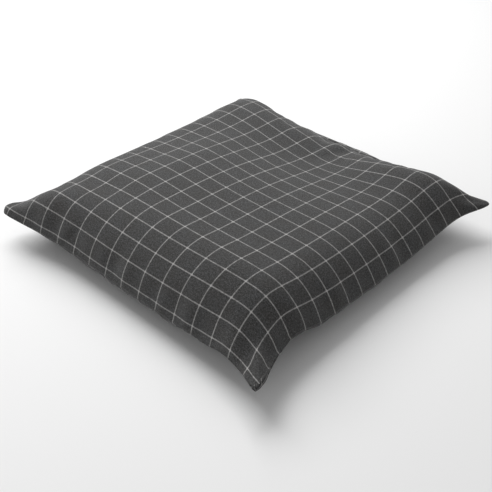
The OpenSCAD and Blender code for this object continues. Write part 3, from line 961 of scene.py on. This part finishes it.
def seam_runs(inside, clear=14):
    """Paths this far inside the seam, kept clear of the corners."""
    for points, inner in sides_of_rim():
        at = distances(points)
        keep = (at > clear) & (at < at[-1] - clear)
        if keep.sum() >= SHORTEST_RUN:
            yield (points + inner * inside)[keep]


STITCH_IN = 3.4  # the seam's stitches lie this far in from the fold
STITCH_APART = 0.9  # half of the distance between the two sides' stitches
rows = []
for path in seam_runs(STITCH_IN):
    for up in (1, -1):
        rows.append(stitch_row(path + (0, 0, up * STITCH_APART), (0, 0, up),
                               pitch=3.0, gap=0.3, radius=0.17, lift=0.25))
dress(mesh_object("cover_seam_stitches", *joined(rows)), dark_thread,
      replaces=["cover_seam_thread"])

OVERLOCK_IN = ALLOWANCE + 0.4
OVERLOCK_STEP = 0.75  # four steps make one turn of the thread round the raw edge
OVERLOCK_UP, OVERLOCK_ACROSS, OVERLOCK_RADIUS = 0.75, 0.5, 0.2
rows = []
for path in seam_runs(OVERLOCK_IN, clear=26):
    at = np.arange(0, distances(path)[-1], OVERLOCK_STEP)
    loop = points_at(path, at)
    swing = np.arange(len(at)) * np.pi / 2
    square_on = np.abs(loop[:, :2]) == np.abs(loop[:, :2]).max(axis=1, keepdims=True)
    loop[:, 2] += OVERLOCK_UP * np.cos(swing)
    loop[:, :2] += OVERLOCK_ACROSS * np.sin(swing)[:, None] * np.sign(-loop[:, :2]) * square_on
    rows.append(tube(loop, OVERLOCK_RADIUS, sides=5))
dress(mesh_object("cover_overlock_stitches", *joined(rows)), dark_thread,
      replaces=["cover_overlock_thread"])


# ---------------------------------------------------------------- the zip
ZIP_LEVEL = ZIP_Z + EAR_LEVEL
COIL_PITCH = 1.4
COIL_WIRE = 0.32  # the wire's radius
COIL_REACH = 0.35  # how far the heads of one row reach into the other
COIL_STEPS = 12  # points in a turn


def coil_spiral(node, up):
    """One row of the coil: a flattened spiral of wire whose heads reach past the middle."""
    low, high = (np.array(c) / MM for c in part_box(node))
    turns = (high[1] - low[1]) / COIL_PITCH
    a = np.arange(0, turns, 1 / COIL_STEPS) * 2 * np.pi
    half = (high - low) / 2 - COIL_WIRE
    middle = (low + high) / 2
    shift = COIL_PITCH / 2 if up < 0 else 0
    path = np.stack([
        middle[0] + half[0] * np.sin(a),
        low[1] + a / (2 * np.pi) * COIL_PITCH + shift,
        middle[2] - up * COIL_REACH / 2 + (half[2] + COIL_REACH / 2) * np.cos(a),
    ], axis=1)
    return tube(path[path[:, 1] < high[1]], COIL_WIRE)


for node, up in (("zip_coil_upper", 1), ("zip_coil_lower", -1)):
    dress(mesh_object(node + "_spiral", *coil_spiral(node, up)), coil_nylon, replaces=[node])

TOPSTITCH_UP = 7.5
TOPSTITCH_OUT = 0.1
TOPSTITCH_POINTS = 60
for node, up in (("zip_stitching_upper", 1), ("zip_stitching_lower", -1)):
    low, high = (np.array(c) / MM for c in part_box(node))
    y = np.linspace(low[1], high[1], TOPSTITCH_POINTS)
    level = ZIP_LEVEL + up * TOPSTITCH_UP
    path = np.stack([0 * y + ZIP_X - TOPSTITCH_OUT, y, 0 * y + level], axis=1)
    row = stitch_row(path, (-1, 0, 0), pitch=4.0, gap=0.8, radius=0.24, lift=0.28)
    dress(mesh_object(node + "_row", *row), dark_thread, replaces=[node])

# A bartack is a thread that goes to and fro across the slit's end, working its way up.
BARTACK_PASSES, BARTACK_HIGH, BARTACK_PAST = 74, 14, 1.2
BARTACK_HALF, BARTACK_OUT, BARTACK_RADIUS = 0.8, 0.35, 0.22
BARTACK_SLANT = 0.1
rows = []
for end in (-1, 1):
    k = np.arange(0, BARTACK_PASSES)
    path = np.stack([
        ZIP_X - BARTACK_OUT - BARTACK_SLANT * np.cos(k * np.pi),
        end * (SLIT_END + BARTACK_PAST) + BARTACK_HALF * np.sign(np.cos(k * np.pi)),
        ZIP_LEVEL + (k / (BARTACK_PASSES - 1) - 0.5) * BARTACK_HIGH,
    ], axis=1)
    rows.append(tube(path, BARTACK_RADIUS))
dress(mesh_object("zip_bartack_stitches", *joined(rows)), dark_thread,
      replaces=["zip_bartacks"])


def finish_node(name, material, bevel=0.0):
    """A CAD node that stays, with a finer material and softened edges."""
    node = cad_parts[name]
    node.data.materials.clear()
    node.data.materials.append(material)
    if bevel:
        edge = node.modifiers.new("soft edges", "BEVEL")
        edge.width = bevel * MM
        edge.segments = 3
        edge.limit_method = "ANGLE"
        edge.harden_normals = False


WORN_EDGE = 0.22
for name in ("zip_tape_upper", "zip_tape_lower"):
    finish_node(name, tape_cloth)
for name in ("zip_slider", "zip_pull", "zip_top_stops", "zip_bottom_stop"):
    finish_node(name, gunmetal, WORN_EDGE)


# ---------------------------------------------------------------- the inner pad
PAD_CELLS = 72
PAD_SHARE, PAD_GAP = 0.915, 9.0
PAD_ALLOWANCE, PAD_CLOTH = 8, 0.5
PAD_CORNERS = 6  # the higher, the squarer the pad's plan
PAD_SEAM_IN = 0.012  # how far in the seam's stitches lie, as a share of the panel
FILLING_SHARE, FILLING_GAP = 0.86, 15.0
CLUMP_HEIGHT, CLUMP_LENGTHS, CLUMP_SLANT, CLUMP_SEED = 1.5, (37, 53, 71), 0.4, 0.3


def inside_cover(share, gap, side):
    """A grid inside the cover: the cover's shape at a share of the fabric, less a gap."""
    row = np.linspace(-PANEL / 2, PANEL / 2, PAD_CELLS + 1) * share
    top, under = sampled(top_grid, row, row), sampled(under_grid, row, row)
    half = (top - under) / 2
    u, v = np.meshgrid(row, row, indexing="ij")
    full = np.sqrt((1 - (u / row[-1]) ** PAD_CORNERS) * (1 - (v / row[-1]) ** PAD_CORNERS))
    keep = full * np.clip(1 - gap / np.maximum(np.linalg.norm(half, axis=2), 1), 0, 1)
    return (top + under) / 2 + side * half * keep[..., None]


def pad_panel(name, side, node):
    grid = inside_cover(PAD_SHARE, PAD_GAP, side)
    n = len(grid)
    obj = mesh_object(name, grid.reshape(-1, 3), grid_faces(n, n, flip=side < 0))
    thick = obj.modifiers.new("cloth thickness", "SOLIDIFY")
    thick.thickness = PAD_CLOTH * MM
    thick.offset = -1
    dress(obj, calico, replaces=[node])


pad_panel("pad_case_top_panel", 1, "pad_case_top")
pad_panel("pad_case_bottom_panel", -1, "pad_case_bottom")

pad_rim = inside_cover(PAD_SHARE - PAD_SEAM_IN, PAD_GAP, 1)
pad_i, pad_j = rim_numbers(PAD_CELLS + 1)
pad_seam = stitch_row(pad_rim[pad_i, pad_j], (0, 0, 1), pitch=3.0, gap=0.4, radius=0.12, lift=0.2)
dress(mesh_object("pad_seam_stitches", *pad_seam), pale_thread,
      replaces=["pad_seam_thread"])

upper, lower = (inside_cover(FILLING_SHARE, FILLING_GAP, side) for side in (1, -1))
side_points = len(upper)
lower[pad_i, pad_j] = upper[pad_i, pad_j]
slanting = upper[..., 0] + CLUMP_SLANT * upper[..., 1]
clumps = CLUMP_HEIGHT * ripple(slanting, CLUMP_LENGTHS, CLUMP_SEED)
upper[1:-1, 1:-1, 2] += clumps[1:-1, 1:-1]
filling = mesh_object(
    "pad_fibre",
    np.concatenate([upper.reshape(-1, 3), lower.reshape(-1, 3)]),
    np.concatenate([
        grid_faces(side_points, side_points),
        grid_faces(side_points, side_points, side_points**2, flip=True),
    ]),
)
weld = filling.modifiers.new("closed rim", "WELD")
weld.merge_threshold = 0.01 * MM
dress(filling, filling_fibre, replaces=["pad_filling"])


# ---------------------------------------------------------------- the blank care label
LABEL_S, LABEL_WIDE, LABEL_LONG = -206.0, 26.0, 24.0
LABEL_IN, LABEL_ABOVE = 15, 2.4  # in from the back seam, and above the bottom panel
LABEL_POINTS, LABEL_THICK = 9, 0.3
label_s = LABEL_S + np.linspace(-LABEL_WIDE / 2, LABEL_WIDE / 2, LABEL_POINTS)
label_t = PANEL / 2 - LABEL_IN - np.linspace(LABEL_LONG, 0, LABEL_POINTS)
label_grid = sampled(under_grid, label_s, label_t) + (0, 0, LABEL_ABOVE)
label_faces = grid_faces(LABEL_POINTS, LABEL_POINTS)
label = mesh_object("care_label_blank", label_grid.reshape(-1, 3), label_faces)
thick = label.modifiers.new("ribbon thickness", "SOLIDIFY")
thick.thickness = LABEL_THICK * MM
dress(label, ribbon, replaces=["care_label"])


# ---------------------------------------------------------------- floor, lights and camera
FLOOR_SIZE = 12  # metres
FLOOR_SHADE, ROOM_LIGHT = 0.82, 0.4
LENS, SENSOR = 62.2, 36
CAMERA_AT = (0.813, -0.848, 0.891)
CAMERA_TOWARDS = (-0.5452, 0.5682, -0.6163)


def studio():
    bpy.ops.mesh.primitive_plane_add(size=FLOOR_SIZE)
    floor = bpy.context.object
    floor.name = "floor"
    mat, tree, shader = new_material("pale_floor")
    shader.inputs["Base Color"].default_value = (*grey(FLOOR_SHADE), 1)
    shader.inputs["Roughness"].default_value = 0.9
    floor.data.materials.append(mat)
    world = bpy.data.worlds.new("studio")
    world.use_nodes = True
    world.node_tree.nodes["Background"].inputs[0].default_value = (1, 1, 1, 1)
    world.node_tree.nodes["Background"].inputs[1].default_value = ROOM_LIGHT
    bpy.context.scene.world = world

    def softbox(name, place, size, power):
        light = bpy.data.lights.new(name, "AREA")
        light.shape = "SQUARE"
        light.size = size
        light.energy = power
        obj = bpy.data.objects.new(name, light)
        obj.location = place
        obj.rotation_euler = (-Vector(place)).to_track_quat("-Z", "Y").to_euler()
        bpy.context.scene.collection.objects.link(obj)

    softbox("key", place=(-1.6, 0.45, 1.9), size=2.0, power=77)
    softbox("fill", place=(0.3, -2.4, 1.6), size=1.6, power=3)


def photo_camera():
    data = bpy.data.cameras.new("camera")
    data.lens = LENS
    data.sensor_width = SENSOR
    camera = bpy.data.objects.new("camera", data)
    camera.location = CAMERA_AT
    camera.rotation_euler = Vector(CAMERA_TOWARDS).to_track_quat("-Z", "Y").to_euler()
    bpy.context.scene.collection.objects.link(camera)
    bpy.context.scene.camera = camera


studio()
photo_camera()
bpy.context.scene.view_settings.view_transform = "Standard"
